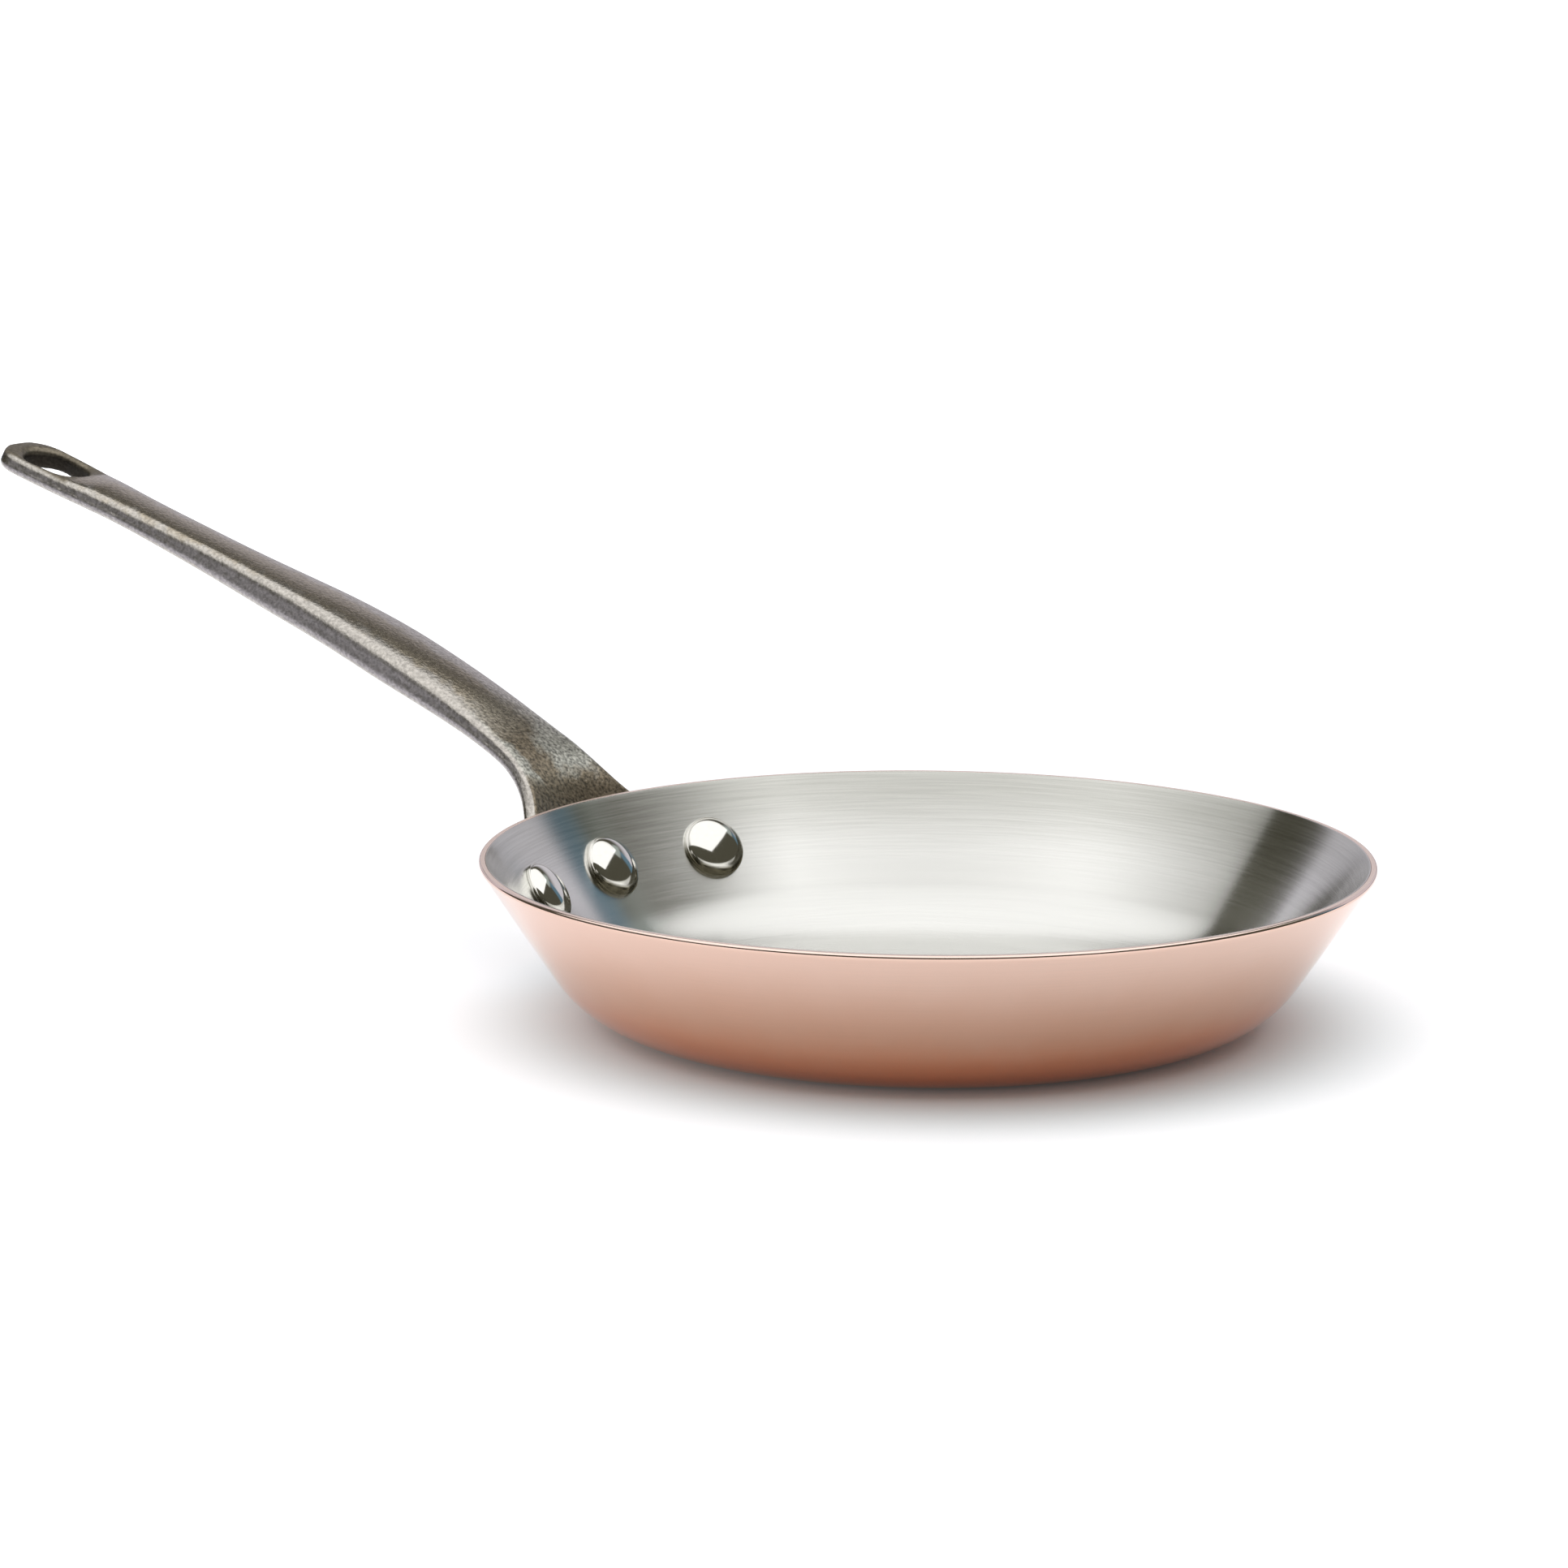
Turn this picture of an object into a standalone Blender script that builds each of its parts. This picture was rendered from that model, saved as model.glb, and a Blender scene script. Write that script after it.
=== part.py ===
"""A copper frying pan: copper body, bonded steel lining, cast iron handle and three rivets.

Metres, +Z up. The origin is the middle of the base's underside and the handle runs along -X.
"""
import math

import bmesh
import bpy
from mathutils import Matrix, Vector

# Fit between pieces that are cut by, or rest on, each other, and how far a cutter runs past its work
FIT_GAP = 0.0003
CUT_PAST = 0.0020

# Pan body
RIM_RADIUS = 0.100
PAN_HEIGHT = 0.0359
WALL_ANGLE = math.radians(56.44)
CORNER_RADIUS = 0.0255
COPPER_THICKNESS = 0.0012
LINING_THICKNESS = 0.0004

# Rivets
RIVET_BELOW_RIM = 0.0173
RIVET_SPREAD = math.radians(21.0)
RIVET_ROW_TURN = math.radians(2.6)
SHANK_RADIUS = 0.0030
INNER_HEAD_RADIUS = 0.0076
INNER_HEAD_EDGE = 0.0011
INNER_HEAD_CROWN = 0.0032
OUTER_HEAD_RADIUS = 0.0055
OUTER_HEAD_EDGE = 0.0006
OUTER_HEAD_CROWN = 0.0018

# Handle flange, measured down the wall from the rim; the margin lies beyond the outermost rivet's middle
FLANGE_THICKNESS = 0.0035
FLANGE_TOP = 0.0025
FLANGE_BOTTOM = 0.0270
FLANGE_SIDE_MARGIN = 0.00875
FLANGE_CORNER_POWER = 4.0
FLANGE_SWELL_START = 0.0105

# Line of the handle, from the rim outwards; its sections wrap round the pan as far as WRAP_END
NECK_START = 0.0026
NECK_BEND_RADIUS = 0.0320
NECK_RISE = math.radians(27.9)
BOW_RADIUS = 0.352
GRIP_RISE = math.radians(15.25)
REACH_PAST_RIM = 0.1881
WRAP_END = 0.0165

# Handle widths, and how far each one lies from the rim, or back from the tip
ROOT_HALF_WIDTH = 0.0175
ROOT_FLARE = 0.0080
NECK_HALF_WIDTH = 0.0108
TAPER_START = 0.060
WAIST_HALF_WIDTH = 0.0076
WAIST_FROM_TIP = 0.0703
EYE_SWELL_FROM_TIP = 0.0503
EYE_HALF_WIDTH = 0.0094
EYE_END_POWER = 2.6

# Handle depths below its arris and its crown above, and how far each one lies from the rim or the tip
NECK_DEPTH = 0.0046
NECK_DEPTH_END = 0.010
GRIP_DEPTH = 0.0079
GRIP_DEPTH_START = 0.065
GRIP_DEPTH_END = 0.090
EYE_DEPTH = 0.0053
EYE_DEPTH_FROM_TIP = 0.0353
CROWN_SHARE = 0.26
CROWN_FULL_AT = 0.030
EYE_CROWN_SHARE = 0.04
EYE_FLAT_FROM_TIP = 0.0453
SIDE_SHARE = 0.80
ARRIS_ROUND = 0.0008
LOWER_ROUND = 0.0014
ROUND_LIMIT = 0.4
END_FLAT = 0.0004

# Hanging eye halfway down the casting; the lip widens it all round towards both faces
EYE_END_WALL = 0.0055
EYE_SIDE_WALL = 0.0037
EYE_LENGTH = 0.0186
EYE_NARROWING = 0.0007
EYE_LIP = 0.0023

# Smoothness of round forms
WALL_STEPS = 96
CORNER_STEPS = 9
RIVET_STEPS = 32
DOME_STEPS = 5
ACROSS_POINTS = 12
ROUND_POINTS = 3
EYE_ARC_STEPS = 12
FLANGE_SECTIONS = 14
ROOT_SECTIONS = 10
GRIP_SECTIONS = 16
TIP_SECTIONS = 8
SHARP_ANGLE = math.radians(35.0)
MERGE_DISTANCE = 1e-6

COLOURS = {
    "copper": ((0.86, 0.50, 0.38), 0.12, 1.0),
    "brushed_lining": ((0.72, 0.71, 0.68), 0.32, 1.0),
    "cast_iron": ((0.17, 0.16, 0.15), 0.50, 0.7),
    "polished_rivet": ((0.82, 0.81, 0.78), 0.10, 1.0),
}


def clear_scene():
    """Take every object out of the open scene."""
    for item in list(bpy.data.objects):
        bpy.data.objects.remove(item, do_unlink=True)


def material(name):
    """Principled material of one of the finishes in COLOURS."""
    colour, roughness, metallic = COLOURS[name]
    made = bpy.data.materials.new(name)
    made.use_nodes = True
    shader = made.node_tree.nodes["Principled BSDF"]
    shader.inputs["Base Color"].default_value = (*colour, 1.0)
    shader.inputs["Roughness"].default_value = roughness
    shader.inputs["Metallic"].default_value = metallic
    return made


def place(mesh, name, look):
    """Put a finished bmesh in the scene as one named object."""
    bmesh.ops.recalc_face_normals(mesh, faces=mesh.faces)
    data = bpy.data.meshes.new(name)
    mesh.to_mesh(data)
    mesh.free()
    made = bpy.data.objects.new(name, data)
    bpy.context.scene.collection.objects.link(made)
    if look is not None:
        data.materials.append(look)
        data.shade_smooth()
        data.set_sharp_from_angle(angle=SHARP_ANGLE)
    return made


def turned(outline, steps):
    """Spin an (r, z) outline, which starts and ends on the Z axis, into a closed bmesh."""
    mesh = bmesh.new()
    points = [mesh.verts.new((r, 0.0, z)) for r, z in outline]
    edges = [mesh.edges.new(pair) for pair in zip(points, points[1:])]
    bmesh.ops.spin(mesh, geom=points + edges, cent=(0.0, 0.0, 0.0), axis=(0.0, 0.0, 1.0),
                   angle=2.0 * math.pi, steps=steps, use_merge=True)
    bmesh.ops.remove_doubles(mesh, verts=mesh.verts, dist=MERGE_DISTANCE)
    return mesh


def cutter(mesh, name):
    """Hide a bmesh as a Boolean cutter."""
    made = place(mesh, name, None)
    made.hide_render = True
    made.display_type = "WIRE"
    return made


def cut(target, tool):
    """Cut a tool's shape out of an object."""
    step = target.modifiers.new("cut_" + tool.name, "BOOLEAN")
    step.operation = "DIFFERENCE"
    step.solver = "EXACT"
    step.object = tool


# The wall's straight part runs down from the rim until it touches the corner's round
WALL_STRAIGHT = (PAN_HEIGHT - CORNER_RADIUS * (1.0 - math.cos(WALL_ANGLE))) / math.sin(WALL_ANGLE)
BASE_RADIUS = RIM_RADIUS - WALL_STRAIGHT * math.cos(WALL_ANGLE) - CORNER_RADIUS * math.sin(WALL_ANGLE)
WALL_UP = (math.cos(WALL_ANGLE), math.sin(WALL_ANGLE))
WALL_IN = (-math.sin(WALL_ANGLE), math.cos(WALL_ANGLE))
WALL_THICKNESS = COPPER_THICKNESS + FIT_GAP + LINING_THICKNESS


def wall_line(inset):
    """Outline of the pan's outside moved inwards by inset, from the axis out to the rim."""
    line = [(0.0, inset)]
    radius = CORNER_RADIUS - inset
    for step in range(CORNER_STEPS + 1):
        turn = WALL_ANGLE * step / CORNER_STEPS
        line.append((BASE_RADIUS + radius * math.sin(turn), CORNER_RADIUS - radius * math.cos(turn)))
    line.append((RIM_RADIUS + inset * WALL_IN[0], PAN_HEIGHT + inset * WALL_IN[1]))
    return line


def shell(name, outer_inset, inner_inset, look):
    """One sheet of the pan between two depths, its rim cut square to the wall."""
    outline = wall_line(outer_inset) + wall_line(inner_inset)[::-1]
    return place(turned(outline, WALL_STEPS), name, look)


RIVET_CIRCLE = RIM_RADIUS - RIVET_BELOW_RIM * WALL_UP[0]
FLANGE_HALF_WIDTH = RIVET_CIRCLE * (RIVET_SPREAD + RIVET_ROW_TURN) + FLANGE_SIDE_MARGIN


def rivet_frame(turn):
    """Frame on the wall's outside where a rivet goes: +Z points in through the wall."""
    height = PAN_HEIGHT - RIVET_BELOW_RIM * WALL_UP[1]
    inwards = Vector((WALL_IN[0], 0.0, WALL_IN[1]))
    upwards = Vector((WALL_UP[0], 0.0, WALL_UP[1]))
    across = upwards.cross(inwards)
    frame = Matrix((across, upwards, inwards)).transposed().to_4x4()
    frame.translation = Vector((RIVET_CIRCLE, 0.0, height))
    return Matrix.Rotation(math.pi + RIVET_ROW_TURN + turn, 4, "Z") @ frame


def dome(radius, seat, edge, crown):
    """Points of a rivet head from its middle out to its seat; edge and crown share one sign."""
    line = []
    for step in range(DOME_STEPS + 1):
        turn = 0.5 * math.pi * step / DOME_STEPS
        line.append((radius * math.sin(turn), seat + edge + crown * math.cos(turn)))
    line.append((radius, seat))
    return line


def rivet(name, turn, look):
    """Inner head, shank and outer head as one piece through lining, copper and flange.

    The inner head is flat underneath, so it stands off by the hollow wall's bow across it.
    """
    bow = INNER_HEAD_RADIUS ** 2 * math.sin(WALL_ANGLE) / (2.0 * RIVET_CIRCLE)
    inner_seat = WALL_THICKNESS + bow + FIT_GAP
    outer_seat = -(FIT_GAP + FLANGE_THICKNESS + FIT_GAP)
    outline = dome(INNER_HEAD_RADIUS, inner_seat, INNER_HEAD_EDGE, INNER_HEAD_CROWN)
    outline.append((SHANK_RADIUS, inner_seat))
    outline.append((SHANK_RADIUS, outer_seat))
    outline += dome(OUTER_HEAD_RADIUS, outer_seat, -OUTER_HEAD_EDGE, -OUTER_HEAD_CROWN)[::-1]
    made = place(turned(outline, RIVET_STEPS), name, look)
    made.matrix_world = rivet_frame(turn)
    return made


def rivet_hole(name, turn):
    """Cutter for one rivet's hole through all three layers."""
    radius = SHANK_RADIUS + FIT_GAP
    inner = WALL_THICKNESS + CUT_PAST
    outer = -(FIT_GAP + FLANGE_THICKNESS + CUT_PAST)
    outline = [(0.0, inner), (radius, inner), (radius, outer), (0.0, outer)]
    made = cutter(turned(outline, RIVET_STEPS), name)
    made.matrix_world = rivet_frame(turn)
    return made


def ease(value, start, end):
    """Smooth step from 0 at start to 1 at end."""
    share = min(max((value - start) / (end - start), 0.0), 1.0)
    return share * share * (3.0 - 2.0 * share)


def blend(first, second, share):
    """Value at a share of the way from the first to the second."""
    return first + (second - first) * share


def handle_line(along):
    """Distance from the pan's axis, height and slope of the handle's line."""
    radius = RIM_RADIUS + (FIT_GAP + 0.5 * FLANGE_THICKNESS) / WALL_UP[1]
    height = PAN_HEIGHT
    slope = WALL_ANGLE
    straight = min(along, NECK_START)
    radius += straight * math.cos(slope)
    height += straight * math.sin(slope)
    along -= straight
    for bend_radius, end_slope in ((NECK_BEND_RADIUS, NECK_RISE), (BOW_RADIUS, GRIP_RISE)):
        turn = min(along / bend_radius, slope - end_slope)
        radius += bend_radius * (math.sin(slope) - math.sin(slope - turn))
        height += bend_radius * (math.cos(slope - turn) - math.cos(slope))
        slope -= turn
        along -= bend_radius * turn
    return radius + along * math.cos(slope), height + along * math.sin(slope), slope


def handle_length():
    """Length of the handle's line from the rim to its tip."""
    bends = NECK_START + NECK_BEND_RADIUS * (WALL_ANGLE - NECK_RISE) + BOW_RADIUS * (NECK_RISE - GRIP_RISE)
    reached = handle_line(bends)[0]
    return bends + (RIM_RADIUS + REACH_PAST_RIM - reached) / math.cos(GRIP_RISE)


HANDLE_LENGTH = handle_length()
TIP_CENTRE = HANDLE_LENGTH - EYE_HALF_WIDTH
EYE_START = HANDLE_LENGTH - EYE_END_WALL - EYE_LENGTH
EYE_RADIUS = EYE_HALF_WIDTH - EYE_SIDE_WALL
EYE_NARROW_RADIUS = EYE_RADIUS - EYE_NARROWING


def flange_half_width(along):
    """Half width of the flange plate, a rectangle with rounded corners."""
    middle = -0.5 * (FLANGE_TOP + FLANGE_BOTTOM)
    half_height = 0.5 * (FLANGE_BOTTOM - FLANGE_TOP)
    share = min(abs(along - middle) / half_height, 1.0)
    return FLANGE_HALF_WIDTH * (1.0 - share ** FLANGE_CORNER_POWER) ** (1.0 / FLANGE_CORNER_POWER)


def half_width(along):
    """Half width of the casting at a distance along its line, negative down the flange."""
    waist, swell = HANDLE_LENGTH - WAIST_FROM_TIP, HANDLE_LENGTH - EYE_SWELL_FROM_TIP
    width = blend(NECK_HALF_WIDTH, WAIST_HALF_WIDTH, ease(along, TAPER_START, waist))
    width = blend(width, EYE_HALF_WIDTH, ease(along, swell, TIP_CENTRE))
    width += (ROOT_HALF_WIDTH - NECK_HALF_WIDTH) * math.exp(-along / ROOT_FLARE)
    if along < 0.0:
        middle = -0.5 * (FLANGE_TOP + FLANGE_BOTTOM)
        width *= ease(along, middle, 0.0)
        power = FLANGE_CORNER_POWER
        width = (width ** power + flange_half_width(along) ** power) ** (1.0 / power)
    if along > TIP_CENTRE:
        share = (along - TIP_CENTRE) / EYE_HALF_WIDTH
        width *= (1.0 - share ** EYE_END_POWER) ** (1.0 / EYE_END_POWER)
    return width


def section(along):
    """Outline (across, up) of the casting's cross-section, anticlockwise from its left arris."""
    half = half_width(along)
    flat = 1.0 - ease(along, -FLANGE_SWELL_START, 0.0)
    arris = 0.5 * FLANGE_THICKNESS * flat
    flattening = ease(along, HANDLE_LENGTH - EYE_FLAT_FROM_TIP, EYE_START)
    crown_share = blend(CROWN_SHARE, EYE_CROWN_SHARE, flattening)
    crown = crown_share * half * ease(along, -FLANGE_TOP, CROWN_FULL_AT)
    depth = blend(NECK_DEPTH, GRIP_DEPTH, ease(along, NECK_DEPTH_END, GRIP_DEPTH_START))
    depth = blend(depth, EYE_DEPTH, ease(along, GRIP_DEPTH_END, HANDLE_LENGTH - EYE_DEPTH_FROM_TIP))
    depth = blend(depth, 0.5 * FLANGE_THICKNESS, flat)
    side = blend(SIDE_SHARE * depth, depth, flat)
    upper_round = min(ARRIS_ROUND, ROUND_LIMIT * half)
    lower_round = min(LOWER_ROUND, ROUND_LIMIT * half, ROUND_LIMIT * (arris + side))

    def top(across):
        """Height of the crowned top face."""
        return arris + crown * (1.0 - (across / half) ** 2)

    def under(across):
        """Height of the bowed underside."""
        return -side - (depth - side) * (1.0 - (across / half) ** 2)

    def rounded(start, corner, end):
        """Points that round a corner off, without its two ends."""
        line = []
        for step in range(1, ROUND_POINTS):
            share = step / ROUND_POINTS
            line.append(tuple(
                (1.0 - share) ** 2 * a + 2.0 * share * (1.0 - share) * b + share ** 2 * c
                for a, b, c in zip(start, corner, end)))
        return line

    upper, lower = half - upper_round, half - lower_round
    top_line = [(x, top(x)) for x in spread(upper)]
    under_line = [(x, under(x)) for x in spread(lower)]
    side_top, side_low = (half, arris - upper_round), (half, lower_round - side)
    right = [side_top, side_low]
    outline = under_line + rounded(under_line[-1], (half, -side), side_low) + right[::-1]
    outline += rounded(side_top, (half, arris), top_line[-1]) + top_line[::-1]
    outline += [(-x, y) for x, y in rounded(side_top, (half, arris), top_line[-1])[::-1]]
    outline += [(-x, y) for x, y in right]
    outline += [(-x, y) for x, y in rounded(under_line[-1], (half, -side), side_low)[::-1]]
    return outline


def spread(reach):
    """Even places across from -reach to reach."""
    return [reach * (2.0 * step / (ACROSS_POINTS - 1) - 1.0) for step in range(ACROSS_POINTS)]


def handle_point(along, across, up):
    """World place of a section point: round the wall on the flange, straight on the grip."""
    radius, height, slope = handle_line(along)
    turn = across / radius
    out = radius - up * math.sin(slope)
    wrap = 1.0 - ease(along, 0.0, WRAP_END)
    x = blend(out, out * math.cos(turn), wrap)
    y = blend(across, out * math.sin(turn), wrap)
    return Vector((-x, y, height + up * math.cos(slope)))


def stations():
    """Distances along the handle's line where it gets a section; a small flat closes each end."""
    def bunched(start, end, count):
        """Places from start to end, closer together near both."""
        return [blend(start, end, 0.5 - 0.5 * math.cos(math.pi * step / count)) for step in range(count + 1)]

    flange = bunched(-FLANGE_BOTTOM + END_FLAT, -FLANGE_TOP, FLANGE_SECTIONS)
    root = bunched(-FLANGE_TOP, CROWN_FULL_AT, ROOT_SECTIONS)[1:]
    grip = [blend(CROWN_FULL_AT, TIP_CENTRE, step / GRIP_SECTIONS) for step in range(1, GRIP_SECTIONS + 1)]
    tip = [TIP_CENTRE + (EYE_HALF_WIDTH - END_FLAT) * math.sin(0.5 * math.pi * step / TIP_SECTIONS)
           for step in range(1, TIP_SECTIONS + 1)]
    return flange + root + grip + tip


def handle_casting(name, look):
    """Flange, neck, grip and eye as one casting."""
    mesh = bmesh.new()
    rings = []
    for along in stations():
        rings.append([mesh.verts.new(handle_point(along, x, y)) for x, y in section(along)])
    for ring, following in zip(rings, rings[1:]):
        for index, point in enumerate(ring):
            after = (index + 1) % len(ring)
            mesh.faces.new((point, ring[after], following[after], following[index]))
    mesh.faces.new(rings[0][::-1])
    mesh.faces.new(rings[-1])
    return place(mesh, name, look)


def eye_outline(grow):
    """Outline (along, across) of the eye, a slot that is wider near the tip, grown all round."""
    outer = EYE_START + EYE_LENGTH - EYE_RADIUS
    inner = EYE_START + EYE_NARROW_RADIUS
    lean = math.asin((EYE_RADIUS - EYE_NARROW_RADIUS) / (outer - inner))
    outline = []
    for centre, radius, side in ((outer, EYE_RADIUS + grow, 1.0), (inner, EYE_NARROW_RADIUS + grow, -1.0)):
        sweep = 0.5 * math.pi + side * lean
        for step in range(EYE_ARC_STEPS + 1):
            turn = sweep * (2.0 * step / EYE_ARC_STEPS - 1.0)
            outline.append((centre + side * radius * math.cos(turn), side * radius * math.sin(turn)))
    return outline


def eye_cutter(name):
    """The eye's slot, narrowest halfway down and opening towards both faces."""
    waist = -0.5 * EYE_DEPTH
    past = EYE_LIP * (1.0 - CUT_PAST / waist)
    mesh = bmesh.new()
    rings = []
    for up, grow in ((-EYE_DEPTH - CUT_PAST, past), (waist, 0.0), (CUT_PAST, past)):
        rings.append([mesh.verts.new(handle_point(x, y, up)) for x, y in eye_outline(grow)])
    for ring, following in zip(rings, rings[1:]):
        for index, point in enumerate(ring):
            after = (index + 1) % len(ring)
            mesh.faces.new((point, ring[after], following[after], following[index]))
    mesh.faces.new(rings[0][::-1])
    mesh.faces.new(rings[-1])
    return cutter(mesh, name)


def main():
    """Build the pan, its handle and the three rivets that join them."""
    clear_scene()
    copper = shell("copper_body", 0.0, COPPER_THICKNESS, material("copper"))
    lining = shell("steel_lining", COPPER_THICKNESS + FIT_GAP, WALL_THICKNESS, material("brushed_lining"))
    handle = handle_casting("handle", material("cast_iron"))
    cut(handle, eye_cutter("eye_cutter"))
    polished = material("polished_rivet")
    for side, turn in (("left", RIVET_SPREAD), ("centre", 0.0), ("right", -RIVET_SPREAD)):
        rivet("rivet_" + side, turn, polished)
        hole = rivet_hole("hole_" + side, turn)
        for layer in (copper, lining, handle):
            cut(layer, hole)


main()
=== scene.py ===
"""Looks of a lined copper frying pan with a riveted iron handle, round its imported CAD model.

Metres, +Z up. The origin is the middle of the base's underside and the handle runs along -X.
"""
import logging
import math
from dataclasses import dataclass
from enum import Enum
from functools import partial
from typing import Callable, ClassVar, Iterable, Sequence, Union

import bmesh
import bpy
from mathutils import Matrix, Vector


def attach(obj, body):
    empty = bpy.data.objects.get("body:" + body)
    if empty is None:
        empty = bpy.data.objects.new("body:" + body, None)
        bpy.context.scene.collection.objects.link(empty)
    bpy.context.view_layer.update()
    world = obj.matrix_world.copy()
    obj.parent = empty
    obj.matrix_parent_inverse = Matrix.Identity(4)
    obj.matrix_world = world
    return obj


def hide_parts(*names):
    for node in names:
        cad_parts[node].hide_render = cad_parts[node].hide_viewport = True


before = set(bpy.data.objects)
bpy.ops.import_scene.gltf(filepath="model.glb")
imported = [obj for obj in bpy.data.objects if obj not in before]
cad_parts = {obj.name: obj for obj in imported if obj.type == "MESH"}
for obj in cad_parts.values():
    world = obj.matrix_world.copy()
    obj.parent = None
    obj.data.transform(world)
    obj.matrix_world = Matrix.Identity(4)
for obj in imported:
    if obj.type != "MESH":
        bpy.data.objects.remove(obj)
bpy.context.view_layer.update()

BODY = "root"
# Attribute with the rivets' painted edge shade
EDGE_SHADE = "edge_shade"
MILLIMETRE = 0.001
PHOTO_PIXELS = 1932
VIEW_AZIMUTH = math.radians(36.7)
# The photograph's right and rear, along the floor
RIGHTWARDS = Vector((math.cos(VIEW_AZIMUTH), math.sin(VIEW_AZIMUTH), 0.0))
BACKWARDS = Vector((-RIGHTWARDS.y, RIGHTWARDS.x, 0.0))

LOG = logging.getLogger("frying_pan")

Point = tuple[float, float]
Span = tuple[float, float]  # places where something starts and is whole, or its values there
Colour = tuple[float, float, float, float]
Object = bpy.types.Object
Node = bpy.types.Node
BMesh = bmesh.types.BMesh
Adder = Callable[..., Node]  # add_node for one tree

# What many nodes share: two settings, and the range that holds most of a noise
SMOOTH = {"interpolation_type": "SMOOTHSTEP"}
RGBA = {"data_type": "RGBA"}
NOISE_SPREAD = (0.3, 0.7)


class Slot(Enum):
    """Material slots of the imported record."""

    COPPER = "copper"
    LINING = "lining"
    HANDLE_IRON = "handle_iron"
    RIVET_METAL = "rivet_metal"


class RivetPlace(Enum):
    """Rivets of the row, each with its place as a share of the spread round the wall."""

    LEFT = ("rivet_left", 1.0)
    CENTRE = ("rivet_centre", 0.0)
    RIGHT = ("rivet_right", -1.0)


class Aim(Enum):
    """Ways to measure a direction in the room, looked at from the pan towards the rear wall."""

    ACROSS = "tangent of the angle to the right"
    UP = "tangent of the angle upwards"
    LIFT = "sine of the angle upwards"


def linear(code: str) -> Colour:
    """Turn an sRGB hex colour to the linear colour that a shader takes.

    Args:
        code: Six hex digits, with or without a hash sign.

    Returns:
        Linear red, green and blue, and an alpha of 1.
    """
    digits = code.lstrip("#")
    channels = [int(digits[place:place + 2], 16) / 255.0 for place in (0, 2, 4)]
    return (*(c / 12.92 if c <= 0.04045 else ((c + 0.055) / 1.055) ** 2.4 for c in channels), 1.0)


def add_node(tree: bpy.types.NodeTree, kind: str, inputs: Union[dict, Sequence] = (),
             **settings) -> Node:
    """Add a shader node with its settings and links.

    Args:
        tree: Node tree that gets the node.
        kind: Blender's identifier of the node, without its leading word ShaderNode.
        inputs: Values, sockets or nodes for the inputs, in order or by the input's name or number. A node
            stands for the first of its outputs that is in use.
        **settings: Properties of the node itself.

    Returns:
        The node.
    """
    node = tree.nodes.new("ShaderNode" + kind)
    for name, value in settings.items():
        setattr(node, name, value)
    for key, value in inputs.items() if isinstance(inputs, dict) else enumerate(inputs):
        if isinstance(value, Node):
            value = next(output for output in value.outputs if output.enabled)
        if isinstance(value, bpy.types.NodeSocket):
            tree.links.new(value, node.inputs[key])
        else:
            node.inputs[key].default_value = value
    return node


def ease(value: float, start: float, end: float) -> float:
    """Smooth step from 0 at start to 1 at end."""
    share = min(max((value - start) / (end - start), 0.0), 1.0)
    return share * share * (3.0 - 2.0 * share)


def mix(first: float, second: float, share: float) -> float:
    """Value at a share of the way from the first to the second."""
    return first + (second - first) * share


def rounded(start: Point, corner: Point, end: Point, steps: int) -> list[Point]:
    """Round a corner off with a soft curve.

    Args:
        start: Where the curve leaves the first side.
        corner: The sharp corner.
        end: Where the curve meets the second side.
        steps: Number of pieces in the curve.

    Returns:
        The curve's points with both ends.
    """
    line = []
    for step in range(steps + 1):
        share = step / steps
        line.append(tuple((1.0 - share) ** 2 * a + 2.0 * share * (1.0 - share) * b + share ** 2 * c
                          for a, b, c in zip(start, corner, end)))
    return line


def to_object(mesh: BMesh, name: str) -> Object:
    """Put a finished bmesh in the scene as one smooth object.

    Args:
        mesh: The bmesh, which is freed.
        name: Name of the object and its mesh.

    Returns:
        The object.
    """
    bmesh.ops.recalc_face_normals(mesh, faces=mesh.faces)
    data = bpy.data.meshes.new(name)
    mesh.to_mesh(data)
    mesh.free()
    made = bpy.data.objects.new(name, data)
    bpy.context.scene.collection.objects.link(made)
    data.shade_smooth()
    return made


def revolve(outline: Sequence[Point], steps: int) -> BMesh:
    """Turn a closed form from an outline that starts and ends on the Z axis.

    Args:
        outline: Points (r, z) of the outline.
        steps: Number of steps round the axis.

    Returns:
        The closed bmesh.
    """
    mesh = bmesh.new()
    rings = []
    for r, z in outline:
        if r < 1e-9:
            rings.append([mesh.verts.new((0.0, 0.0, z))])
        else:
            turns = (2.0 * math.pi * step / steps for step in range(steps))
            rings.append([mesh.verts.new((r * math.cos(turn), r * math.sin(turn), z)) for turn in turns])
    for ring, following in zip(rings, rings[1:]):
        for step in range(steps):
            after = (step + 1) % steps
            corners = [ring[step % len(ring)], ring[after % len(ring)],
                       following[after % len(following)], following[step % len(following)]]
            mesh.faces.new(list(dict.fromkeys(corners)))
    return mesh


def loft(rings: Sequence[Sequence[Vector]]) -> BMesh:
    """Join closed rings of points into one capped form.

    Args:
        rings: Rings with the same number of points each.

    Returns:
        The closed bmesh.
    """
    mesh = bmesh.new()
    made = [[mesh.verts.new(point) for point in ring] for ring in rings]
    for ring, following in zip(made, made[1:]):
        for index, point in enumerate(ring):
            after = (index + 1) % len(ring)
            mesh.faces.new((point, ring[after], following[after], following[index]))
    mesh.faces.new(made[0][::-1])
    mesh.faces.new(made[-1])
    return mesh


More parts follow.
